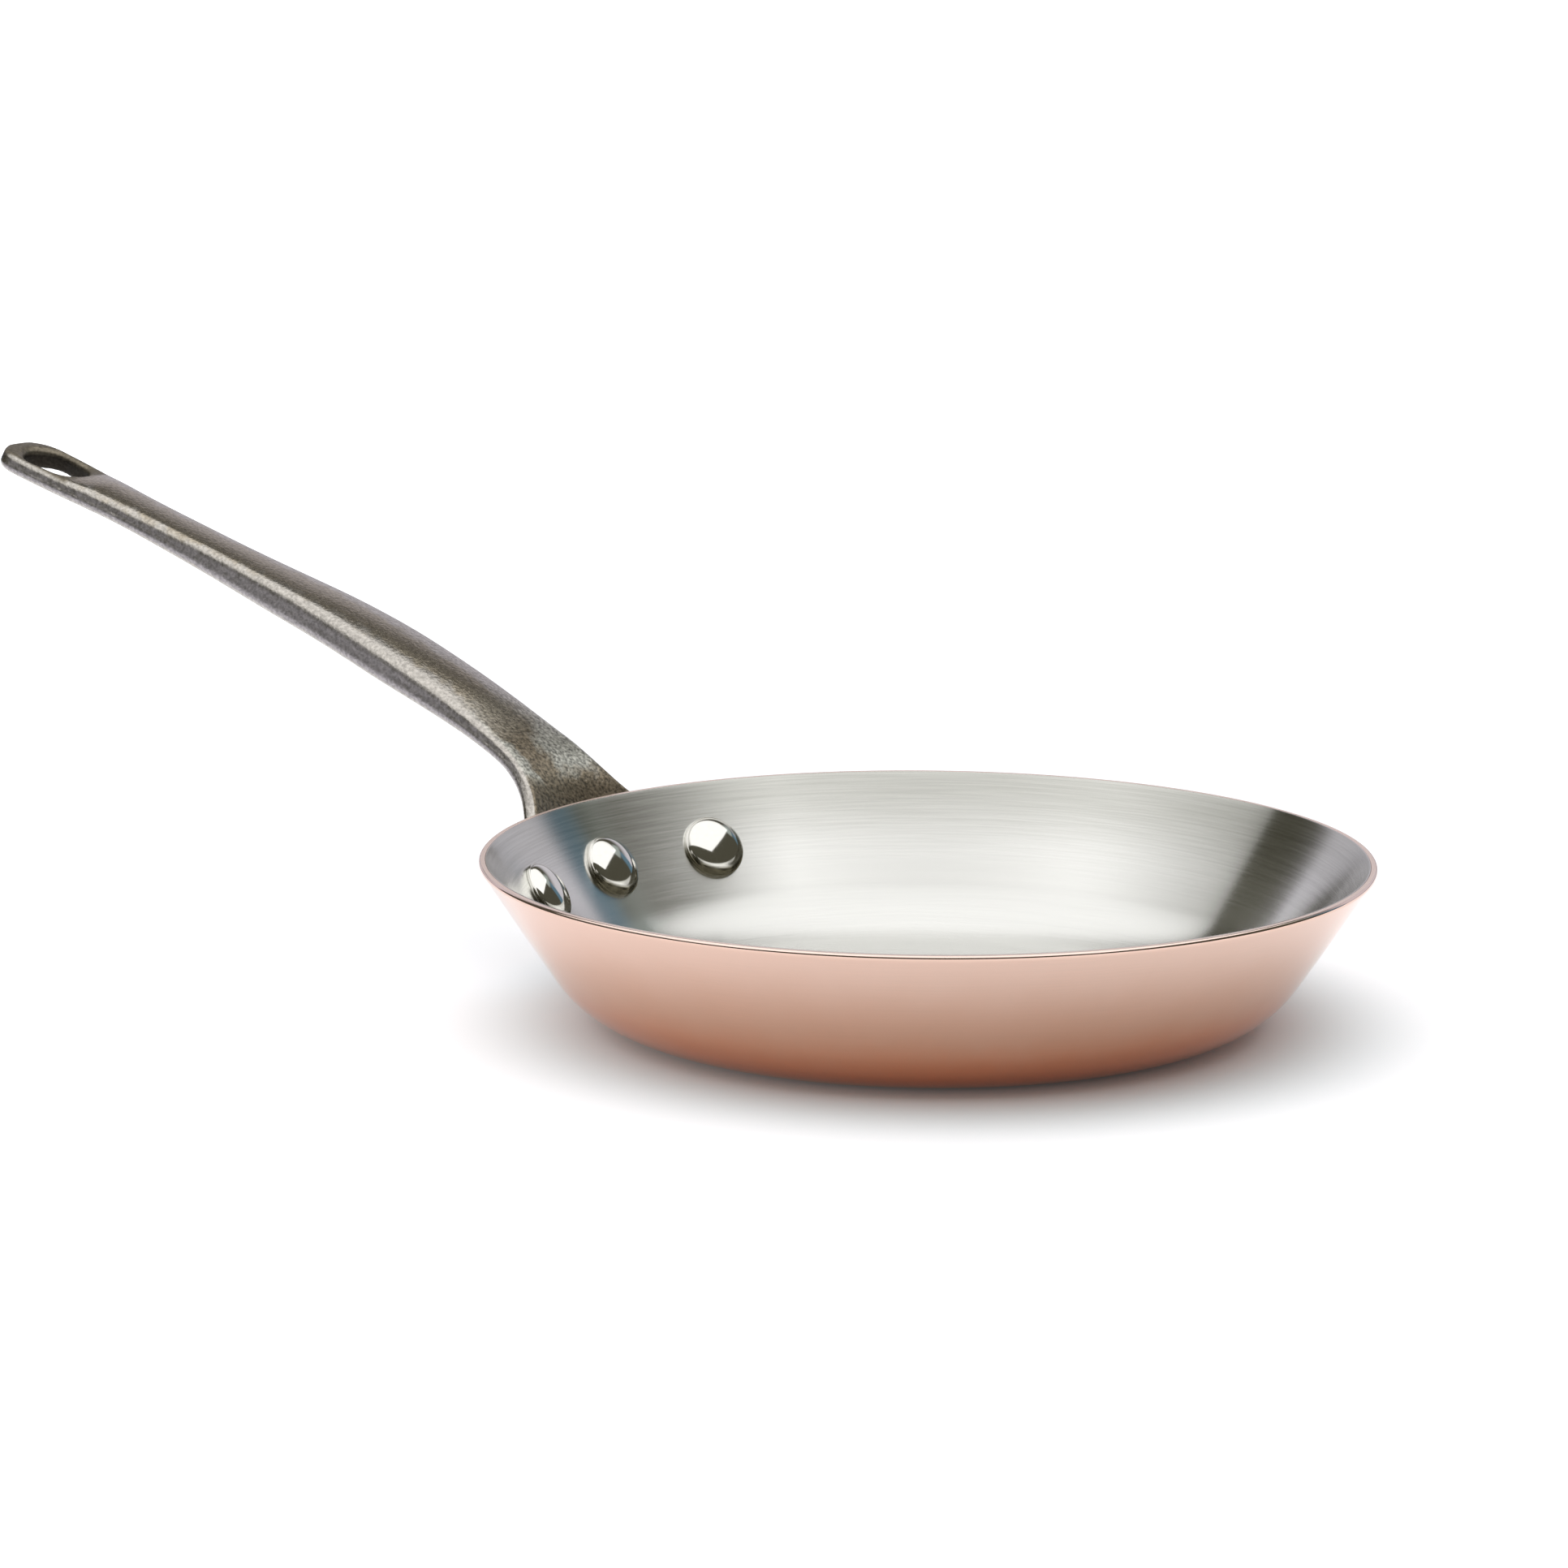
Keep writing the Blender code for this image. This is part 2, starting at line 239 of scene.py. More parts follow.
def settle(made: Object) -> None:
    """Apply all of an object's modifiers to its mesh.

    Args:
        made: The object.
    """
    graph = bpy.context.evaluated_depsgraph_get()
    finished = bpy.data.meshes.new_from_object(made.evaluated_get(graph))
    former = made.data
    made.modifiers.clear()
    made.data = finished
    finished.name = made.name
    bpy.data.meshes.remove(former)
    finished.shade_smooth()


def cut(made: Object, tools: Iterable[BMesh]) -> None:
    """Cut the shapes of some tools out of an object.

    Args:
        made: The object, which keeps the cut mesh.
        tools: Closed forms in the row frame.
    """
    cutters = [to_object(tool, "cutter") for tool in tools]
    for tool in cutters:
        step = made.modifiers.new("cut", "BOOLEAN")
        step.operation = "DIFFERENCE"
        step.solver = "EXACT"
        step.object = tool
    settle(made)
    for tool in cutters:
        bpy.data.objects.remove(tool)


@dataclass(frozen=True)
class PanForm:
    """Sizes of the pan's wall, which the copper, lining, rivets and handle share."""

    rim_radius: float = 0.100
    height: float = 0.0359
    wall_angle: float = math.radians(56.44)
    corner_radius: float = 0.0255
    copper_thickness: float = 0.00170
    seam: float = 0.00004
    wall_thickness: float = 0.0020
    rim_top: float = 0.0366
    rim_round: float = 0.00070
    floor_steps: int = 14
    corner_steps: int = 28
    wall_steps: int = 8

    @property
    def up(self) -> Vector:
        """Direction (r, z) up along the wall."""
        return Vector((math.cos(self.wall_angle), math.sin(self.wall_angle)))

    @property
    def inwards(self) -> Vector:
        """Direction (r, z) in through the wall."""
        return Vector((-math.sin(self.wall_angle), math.cos(self.wall_angle)))

    @property
    def straight(self) -> float:
        """Length of the wall's straight part, from the corner's round to the rim."""
        rise = self.height - self.corner_radius * (1.0 - math.cos(self.wall_angle))
        return rise / math.sin(self.wall_angle)

    @property
    def base_radius(self) -> float:
        """Radius of the flat base."""
        return self.rim_radius - self.straight * self.up.x - self.corner_radius * math.sin(self.wall_angle)

    def line(self, inset: float, end: float) -> list[Point]:
        """Trace the wall at one depth from the axis outwards.

        Args:
            inset: Depth in from the pan's outside.
            end: Distance below the rim at which the line stops.

        Returns:
            Points (r, z) from the axis to the line's end.
        """
        line = [(self.base_radius * step / self.floor_steps, inset) for step in range(self.floor_steps)]
        radius = self.corner_radius - inset
        for step in range(self.corner_steps + 1):
            turn = self.wall_angle * step / self.corner_steps
            line.append((self.base_radius + radius * math.sin(turn),
                         self.corner_radius - radius * math.cos(turn)))
        foot, top = Vector(line[-1]), self.rim_point(inset, end)
        line += [tuple(foot.lerp(top, step / self.wall_steps)) for step in range(1, self.wall_steps + 1)]
        return line

    def rim_point(self, inset: float, below: float) -> Vector:
        """Point (r, z) at a depth into the wall and a distance below the rim."""
        return Vector((self.rim_radius, self.height)) + self.inwards * inset - self.up * below

    def level(self, inset: float) -> float:
        """Distance below the rim at which the wall meets its level top face at a depth."""
        return (self.height + self.inwards.y * inset - self.rim_top) / self.up.y

    def lip(self, inset: float, radius: float, side: float, steps: int) -> list[Point]:
        """Round the edge between a face of the wall and the level top face.

        Args:
            inset: Depth of the wall's face in from the pan's outside.
            radius: Radius of the rounding.
            side: 1 for a face that looks outwards, -1 for one that looks inwards.
            steps: Number of pieces in the rounding.

        Returns:
            Points (r, z) from the face up to the top face.
        """
        half = 0.5 * (math.pi - self.wall_angle) if side > 0.0 else 0.5 * self.wall_angle
        foot = self.rim_point(inset, self.level(inset) + radius * math.tan(half))
        centre = foot + self.inwards * radius * side
        start = self.wall_angle - 0.5 * math.pi * side
        turns = (mix(start, 0.5 * math.pi, step / steps) for step in range(steps + 1))
        return [(centre.x + radius * math.cos(turn), centre.y + radius * math.sin(turn)) for turn in turns]

    def sheet(self, faces: tuple[float, float], edges: tuple[float, float], steps: tuple[int, int],
              edges_depth: float) -> list[Point]:
        """Trace one sheet of the wall with its edges rounded, its outer face first.

        Args:
            faces: Depths of its two faces in from the pan's outside.
            edges: Radii of the roundings of its two edges.
            steps: Numbers of pieces in the two roundings.
            edges_depth: Distance below the top face at which the faces are straight.

        Returns:
            Points (r, z) from the axis out to the rim and back.
        """
        outside, inside = (self.line(face, self.level(face) + edges_depth) for face in faces)
        outer, inner = (self.lip(*edge) for edge in zip(faces, edges, (1.0, -1.0), steps))
        return outside + outer + inner[::-1] + inside[::-1]


@dataclass(frozen=True)
class RivetRow:
    """Places of the three rivets round the wall."""

    pan: PanForm
    below_rim: float = 0.0173
    spread: float = math.radians(21.0)
    turn: float = math.radians(2.6)
    shank_radius: float = 0.0030
    clearance: float = 0.0003
    flange_thickness: float = 0.0035
    cutter_past: float = 0.002
    cutter_steps: int = 48

    @property
    def circle(self) -> float:
        """Radius of the circle that the rivets stand on."""
        return self.pan.rim_radius - self.below_rim * self.pan.up.x

    def frame(self, place: RivetPlace) -> Matrix:
        """Find the frame on the wall's outside where a rivet goes.

        Args:
            place: The rivet's place in the row.

        Returns:
            The frame, whose +Z points in through the wall.
        """
        up, inwards = self.pan.up, self.pan.inwards
        upwards, through = Vector((up.x, 0.0, up.y)), Vector((inwards.x, 0.0, inwards.y))
        seat = Matrix((upwards.cross(through), upwards, through)).transposed().to_4x4()
        seat.translation = Vector((self.circle, 0.0, self.pan.height - self.below_rim * up.y))
        return Matrix.Rotation(math.pi + self.turn + self.spread * place.value[1], 4, "Z") @ seat

    def holes(self) -> list[BMesh]:
        """Shape the three holes through lining, copper and flange.

        Returns:
            Their closed cutters.
        """
        radius = self.shank_radius + self.clearance
        inner, outer = self.pan.wall_thickness + self.cutter_past, -self.flange_thickness - self.cutter_past
        cutters = []
        for place in RivetPlace:
            hole = revolve([(0.0, inner), (radius, inner), (radius, outer), (0.0, outer)], self.cutter_steps)
            bmesh.ops.transform(hole, matrix=self.frame(place), verts=hole.verts)
            cutters.append(hole)
        return cutters


class Finish:
    """A metal's surface: each finish works out what its own Principled shader shows."""

    name: ClassVar[str]

    def looks(self, add: Adder) -> dict:
        """Work out what the shader shows.

        Args:
            add: Adds a node.

        Returns:
            The shader's inputs by name.
        """
        raise NotImplementedError

    def material(self) -> bpy.types.Material:
        """Build the material.

        Returns:
            The material.
        """
        made = bpy.data.materials.new(self.name)
        made.use_nodes = True
        made.node_tree.nodes.clear()
        add = partial(add_node, made.node_tree)
        shader = add("BsdfPrincipled", {"Metallic": 1.0, **self.looks(add)})
        add("OutputMaterial", {"Surface": shader})
        return made


def circular_lines(add: Adder, width: float, reach: float) -> Node:
    """Draw noise out into fine lines round the pan's axis, as a lathe or a buffing wheel leaves them.

    Args:
        add: Adds a node to the material.
        width: Width of the widest lines, in metres. The finest are an eighth of it.
        reach: How many lines follow each other in a radian round the axis.

    Returns:
        Node with the noise, from 0 to 1.
    """
    parts = add("SeparateXYZ", [add("TexCoord").outputs["Object"]])
    flat = add("CombineXYZ", parts.outputs[:2])
    radius = add("VectorMath", [flat], operation="LENGTH")
    heading = add("VectorMath", [flat], operation="NORMALIZE")
    heading = add("VectorMath", {0: heading, "Scale": reach}, operation="SCALE")
    travel = add("Math", [radius, parts.outputs[2]], operation="ADD")
    travel = add("Math", [travel, 1.0 / width], operation="MULTIPLY")
    where = add("VectorMath", [heading, add("CombineXYZ", {2: travel})], operation="ADD")
    return add("TexNoise", {"Vector": where, "Scale": 1.0, "Detail": 3.0})


@dataclass(frozen=True)
class PolishedCopper(Finish):
    """Copper sheet, spun to shape and buffed on a wheel."""

    # Buffing gives the eye a soft mirror. Its colour runs from pale pink by the rim to redder and darker down
    # by
    # the base: painted shade, standing in for the shadowed floor that the lower wall mirrors. The rim is cut
    # level and left duller, and its upward faces are painted pale, a painted highlight, so it shows as one
    # light line all round.
    # Real buffing lines are a few hundredths of a millimetre wide: the widest here are drawn coarser to show.
    name: ClassVar[str] = "copper_buffed_to_a_mirror"
    # Tones by height: the redder, darker ones low down are painted shade
    rim: str = "#EBCABA"
    middle: str = "#DDAD94"
    base: str = "#DF8C63"
    # Pale tone on the rim's upward faces: a painted highlight
    rim_painted_highlight: str = "#F8E0D6"
    base_to_middle: Span = (0.002, 0.018)
    middle_to_rim: Span = (0.013, 0.036)
    highlight_facing: Span = (0.05, 0.45)
    level_slope: Span = (0.90, 0.98)
    roughness: Span = (0.056, 0.091)
    edge_roughness: float = 0.30
    edge_metallic: float = 0.45
    hairline: float = 0.25 * MILLIMETRE
    hairline_reach: float = 3.0
    hairline_shade: Span = (0.975, 1.0)
    cloud: float = 14.0 * MILLIMETRE
    cloud_drift: float = 2.0 * MILLIMETRE

    def looks(self, add: Adder) -> dict:
        """Work out what the shader shows.

        Args:
            add: Adds a node.

        Returns:
            The shader's inputs by name.
        """
        lines = circular_lines(add, self.hairline, self.hairline_reach)
        place = add("TexCoord")
        spot = place.outputs["Object"]
        clouds = add("TexNoise", {"Vector": spot, "Scale": 1.0 / self.cloud, "Detail": 3.0})
        drift = add("MapRange", [clouds, 0.0, 1.0, -self.cloud_drift, self.cloud_drift])
        height = add("Math", [add("SeparateXYZ", [spot]).outputs[2], drift], operation="ADD")
        # Painted shade: the colour grows redder and darker towards the base, where the wall mirrors the
        # shadowed floor
        lower, upper = (add("MapRange", [height, *span], **SMOOTH)
                        for span in (self.base_to_middle, self.middle_to_rim))
        tone = linear(self.base)
        for mask, colour in ((lower, self.middle), (upper, self.rim)):
            tone = add("Mix", {0: mask, 6: tone, 7: linear(colour)}, **RGBA)
        shade = add("MapRange", [lines, *NOISE_SPREAD, *self.hairline_shade])
        tone = add("VectorMath", {0: tone, "Scale": shade}, operation="SCALE")
        facing = add("SeparateXYZ", [place.outputs["Normal"]]).outputs[2]
        # Painted highlight: faces that look up, the level rim and its rounding, are painted pale
        highlight_mask = add("MapRange", [facing, *self.highlight_facing])
        flat_top = add("MapRange", [facing, *self.level_slope])
        tone = add("Mix", {0: highlight_mask, 6: tone, 7: linear(self.rim_painted_highlight)}, **RGBA)
        rough = add("MapRange", [lines, 0.0, 1.0, *self.roughness])
        rough = add("Mix", {0: flat_top, 2: rough, 3: self.edge_roughness})
        metal = add("MapRange", [flat_top, 0.0, 1.0, 1.0, self.edge_metallic])
        return {"Base Color": tone, "Metallic": metal, "Roughness": rough}


@dataclass(frozen=True)
class BrushedLining(Finish):
    """Stainless steel sheet, brushed in circles round the pan's axis."""

    # Brushing gives the eye a satin sheen that smears reflections out across its lines. The wall near the rim
    # keeps fresh lines and grows darker towards the rim; lower down use has worn them smooth, and a band
    # round the corner is painted darker, a painted shade. Real brush lines are about 0.1 mm wide: the widest
    # here are drawn coarser to show.
    name: ClassVar[str] = "stainless_steel_brushed_in_circles"
    light: str = "#FFFFFD"
    dark: str = "#E6E6E3"
    upper_tone: str = "#DCDCD9"
    upper_tone_height: Span = (0.018, 0.034)
    # Share of the colour left in the round corner: painted shade
    corner: float = 0.90
    above_corner: Span = (0.0095, 0.0140)
    below_corner: Span = (0.0055, 0.0028)
    roughness: Span = (0.187, 0.253)
    anisotropy: float = 1.0
    across_lines: float = 0.25
    line_width: float = 0.60 * MILLIMETRE
    line_depth: float = 0.0005 * MILLIMETRE
    line_reach: float = 4.0
    fresh_height: Span = (0.012, 0.032)
    fresh_lines: Span = (0.20, 0.85)

    def looks(self, add: Adder) -> dict:
        """Work out what the shader shows.

        Args:
            add: Adds a node.

        Returns:
            The shader's inputs by name.
        """
        lines = circular_lines(add, self.line_width, self.line_reach)
        sharp = add("MapRange", [lines, *NOISE_SPREAD])
        height = add("SeparateXYZ", [add("TexCoord").outputs["Object"]]).outputs[2]
        fresh = add("MapRange", [height, *self.fresh_height, *self.fresh_lines], **SMOOTH)
        shown = add("Mix", {0: fresh, 2: 0.5, 3: sharp})
        tone = add("Mix", {0: shown, 6: linear(self.dark), 7: linear(self.light)}, **RGBA)
        # The colour grows darker towards the rim, by height
        upper_share = add("MapRange", [height, *self.upper_tone_height], **SMOOTH)
        tone = add("Mix", {0: upper_share, 6: tone, 7: linear(self.upper_tone)}, **RGBA, blend_type="MULTIPLY")
        # Painted shade: a darker band round the corner between the floor and the wall
        above, below = (add("MapRange", [height, *span, self.corner, 1.0])
                        for span in (self.above_corner, self.below_corner))
        dull = add("Math", [above, below], operation="MAXIMUM")
        return {
            "Base Color": add("VectorMath", {0: tone, "Scale": dull}, operation="SCALE"),
            "Roughness": add("MapRange", [lines, 0.0, 1.0, *self.roughness]),
            "Anisotropic": self.anisotropy,
            "Anisotropic Rotation": self.across_lines,
            "Tangent": add("Tangent", direction_type="RADIAL", axis="Z"),
            "Normal": add("Bump", {"Height": sharp, "Distance": self.line_depth, "Strength": fresh}),
        }


@dataclass(frozen=True)
class SandCastIron(Finish):
    """Grey iron, cast in sand, its top ground and its sides left in the cast skin."""

    # Casting in sand gives the eye a fine grain of dark pits and light specks. Grinding leaves a satin sheen
    # along the arrises. The top's middle is painted darker and browner, a painted reflection of the dark
    # room;
    # by the pan the iron is grey-green under brown oxide, and the cast skin at the sides, on the flange and
    # in the eye is duller. The sides' tone is cast skin and partly painted shade, the eye's lip is a painted
    # dark reflection, and deep in the eye the wall is painted near black, a painted shade.
    # Casting sand is about 0.2 mm, as are the finest grains of the noise, whose widest are drawn coarser.
    name: ClassVar[str] = "iron_sand_cast"
    ground: str = "#C3BEB8"
    # Darker, browner middle of the top: a painted reflection of the dark room
    painted_dark_middle: str = "#B4AA9A"
    # Cast skin on the sides, its darker lilac grey partly painted shade
    skin: str = "#B2ADAF"
    root: str = "#BDBCB4"
    oxide: str = "#8A7E6C"
    # Darker tone round the eye: a painted dark reflection
    lip: str = "#898173"
    # Near black deep in the eye: painted shade in the hole
    eye_wall_shade: str = "#34302B"
    roughness: float = 0.23
    skin_roughness: float = 0.46
    root_metallic: float = 0.50
    grit: float = 0.80 * MILLIMETRE
    grit_depth: float = 0.045 * MILLIMETRE
    grit_spread: Span = (0.32, 0.68)
    grip_shade: Span = (0.70, 1.17)
    root_shade: Span = (0.38, 1.50)
    dimple: float = 1.6 * MILLIMETRE
    dimple_depth: float = 0.050 * MILLIMETRE
    patch: float = 4.0 * MILLIMETRE
    patch_wander: float = 4.0 * MILLIMETRE
    side_facing: Span = (0.86, 0.97)
    side_ragged: float = 0.08
    top_facing: Span = (0.50, 0.25)
    flange_height: Span = (0.0335, 0.0300)
    root_from: Span = (-0.134, -0.116)
    dark_middle_near: Span = (-0.0070, -0.0045)
    dark_middle_far: Span = (0.0050, 0.0020)
    oxide_near: Span = (-0.0098, -0.0078)
    oxide_far: Span = (0.0010, -0.0025)
    oxide_narrows: Span = (-0.114, -0.122)
    oxide_narrower: float = -0.006
    oxide_by_rim: Span = (-0.1055, -0.1025)
    oxide_ragged: float = 0.006
    eye_along: Span = (-0.2625, -0.2640)
    eye_across: Span = (0.0082, 0.0074)
    grip_slope: float = math.tan(math.radians(15.25))
    eye_deep: Span = (0.0255, 0.0244)

    def looks(self, add: Adder) -> dict:
        """Work out what the shader shows.

        Args:
            add: Adds a node.

        Returns:
            The shader's inputs by name.
        """
        coords = add("TexCoord")
        place = coords.outputs["Object"]
        along, across, height = add("SeparateXYZ", [place]).outputs
        grain, dents, wear = (
            add("TexNoise", {"Vector": place, "Scale": 1.0 / size, "Detail": detail})
            for size, detail in ((self.grit, 2.0), (self.dimple, 2.0), (self.patch, 4.0)))

        # Where the surface is a side, the top or the flange
        facing = add("SeparateXYZ", [coords.outputs["Normal"]]).outputs[1]
        facing = add("Math", [facing], operation="ABSOLUTE")
        top = add("MapRange", [facing, *self.top_facing])
        ragged = add("MapRange", [dents, 0.0, 1.0, -self.side_ragged, self.side_ragged])
        # Sides, where the cast skin is; their tone is partly painted shade
        side = add("MapRange", [add("Math", [facing, ragged], operation="ADD"), *self.side_facing])
        flange = add("MapRange", [height, *self.flange_height])
        side = add("Math", [side, flange], operation="MAXIMUM")

        # The eye's lip, painted darker as a painted dark reflection, and deeper its wall, painted near black
        # as painted shade
        in_eye = add("MapRange", [add("Math", [across], operation="ABSOLUTE"), *self.eye_across])
        in_eye = add("Math", [in_eye, add("MapRange", [along, *self.eye_along])], operation="MULTIPLY")
        drop = add("Math", [along, self.grip_slope, height], operation="MULTIPLY_ADD")
        # Painted shade: deep inside the eye the wall is painted near black
        eye_wall_mask = add("Math", [add("MapRange", [drop, *self.eye_deep]), in_eye], operation="MULTIPLY")

        # The root by the pan, the middle of the top painted darker as a painted reflection of the dark room,
        # and the brown oxide beside and below it
        root = add("Math", [add("MapRange", [along, *self.root_from]), flange], operation="SUBTRACT",
                   use_clamp=True)
        root = add("Math", [root, top], operation="MULTIPLY")
        wander = add("MapRange", [wear, 0.0, 1.0, -self.patch_wander, self.patch_wander])
        wander = add("Math", [across, wander], operation="ADD")
        # The top's middle, painted darker: a painted reflection of the dark room
        middle = add("Math", [add("MapRange", [wander, *self.dark_middle_near]),
                              add("MapRange", [wander, *self.dark_middle_far])], operation="MULTIPLY")
        narrow = add("MapRange", [along, *self.oxide_narrows, 0.0, self.oxide_narrower])
        brown = add("MapRange", [add("Math", [wander, narrow], operation="ADD"), *self.oxide_far])
        for limit in (root, add("MapRange", [wander, *self.oxide_near])):
            brown = add("Math", [brown, limit], operation="MULTIPLY")
        by_rim = add("Math", [wear, self.oxide_ragged, along], operation="MULTIPLY_ADD")
        by_rim = add("Math", [add("MapRange", [by_rim, *self.oxide_by_rim]), top], operation="MULTIPLY")
        by_rim = add("Math", [by_rim, flange], operation="SUBTRACT", use_clamp=True)
        brown = add("Math", [brown, by_rim], operation="MAXIMUM")

        tone = linear(self.ground)
        for mask, colour in ((middle, self.painted_dark_middle), (root, self.root), (side, self.skin), (brown, self.oxide),
                             (in_eye, self.lip), (eye_wall_mask, self.eye_wall_shade)):
            tone = add("Mix", {0: mask, 6: tone, 7: linear(colour)}, **RGBA)
        darkest, lightest = (add("MapRange", [root, 0.0, 1.0, *shades])
                             for shades in zip(self.grip_shade, self.root_shade))
        shade = add("MapRange", [grain, *self.grit_spread, darkest, lightest])
        dull = add("Math", [side, in_eye], operation="MAXIMUM")
        relief = add("Bump", {"Height": dents, "Distance": self.dimple_depth, "Strength": 1.0})
        return {
            "Base Color": add("VectorMath", {0: tone, "Scale": shade}, operation="SCALE"),
            "Metallic": add("MapRange", [root, 0.0, 1.0, 1.0, self.root_metallic]),
            "Roughness": add("Mix", {0: dull, 2: self.roughness, 3: self.skin_roughness}),
            "Normal": add("Bump", {"Height": grain, "Distance": self.grit_depth, "Strength": 1.0,
                                   "Normal": relief}),
        }


@dataclass(frozen=True)
class PolishedRivetSteel(Finish):
    """Stainless steel, cold headed and polished."""

    # Polishing gives the eye small bright mirrors with sharp reflections, with faint marks of the heading
    # tool. A brown-olive tone is painted round the edge, most on the lower side: painted shade and a painted
    # reflection of the dark room.
    name: ClassVar[str] = "stainless_steel_polished"
    light: str = "#F4F2EE"
    dark: str = "#EAE8E3"
    edge_shade: str = "#77715F"
    edge_shade_span: Span = (0.70, 0.84)
    roughness: Span = (0.064, 0.112)
    mark: float = 0.8 * MILLIMETRE

    def looks(self, add: Adder) -> dict:
        """Work out what the shader shows.

        Args:
            add: Adds a node.

        Returns:
            The shader's inputs by name.
        """
        place = add("TexCoord").outputs["Object"]
        marks = add("TexNoise", {"Vector": place, "Scale": 1.0 / self.mark, "Detail": 2.0})
        # Painted shade and reflection: brown-olive round the head's edge, most on its lower side
        edge_shade = add("Attribute", attribute_name=EDGE_SHADE).outputs["Fac"]
        edge_shade = add("MapRange", [edge_shade, *self.edge_shade_span], **SMOOTH)
        tone = linear(self.dark)
        for mask, colour in ((marks, self.light), (edge_shade, self.edge_shade)):
            tone = add("Mix", {0: mask, 6: tone, 7: linear(colour)}, **RGBA)
        return {"Base Color": tone, "Roughness": add("MapRange", [marks, 0.0, 1.0, *self.roughness])}


def dress(made: Object, material: bpy.types.Material, node: str) -> Object:
    """Finish a piece, ride it on the pan's body and let it stand for its CAD node.

    Args:
        made: The piece.
        material: Its finish.
        node: Name of the CAD node that the piece replaces.

    Returns:
        The piece.
    """
    made.data.materials.clear()
    made.data.materials.append(material)
    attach(made, BODY)
    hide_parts(node)
    return made


@dataclass(frozen=True)
class CopperBody:
    """Spun copper pan: flat base, wide round corner, sloping wall and a level rim with eased edges."""

    pan: PanForm
    rivets: RivetRow
    finish: Finish = PolishedCopper()
    inner_edge: float = 0.00008
    edge_steps: tuple[int, int] = (14, 3)
    edges_depth: float = 0.002
    steps: int = 288

    def build(self) -> list[Object]:
        """Build and dress the copper body.

        Returns:
            The body alone.
        """
        faces, edges = (0.0, self.pan.copper_thickness), (self.pan.rim_round, self.inner_edge)
        outline = self.pan.sheet(faces, edges, self.edge_steps, self.edges_depth)
        made = to_object(revolve(outline, self.steps), "copper_pan_body")
        cut(made, self.rivets.holes())
        return [dress(made, self.finish.material(), "copper_body")]


@dataclass(frozen=True)
class SteelLining:
    """Thin stainless lining bonded inside the copper, its edge flush with the rim."""

    pan: PanForm
    rivets: RivetRow
    finish: Finish = BrushedLining()
    edge: float = 0.00012
    edge_steps: tuple[int, int] = (3, 4)
    edges_depth: float = 0.001
    steps: int = 288

    def build(self) -> list[Object]:
        """Build and dress the lining.

        Returns:
            The lining alone.
        """
        faces = (self.pan.copper_thickness + self.pan.seam, self.pan.wall_thickness)
        outline = self.pan.sheet(faces, (0.5 * self.edge, self.edge), self.edge_steps, self.edges_depth)
        made = to_object(revolve(outline, self.steps), "stainless_lining")
        cut(made, self.rivets.holes())
        return [dress(made, self.finish.material(), "steel_lining")]


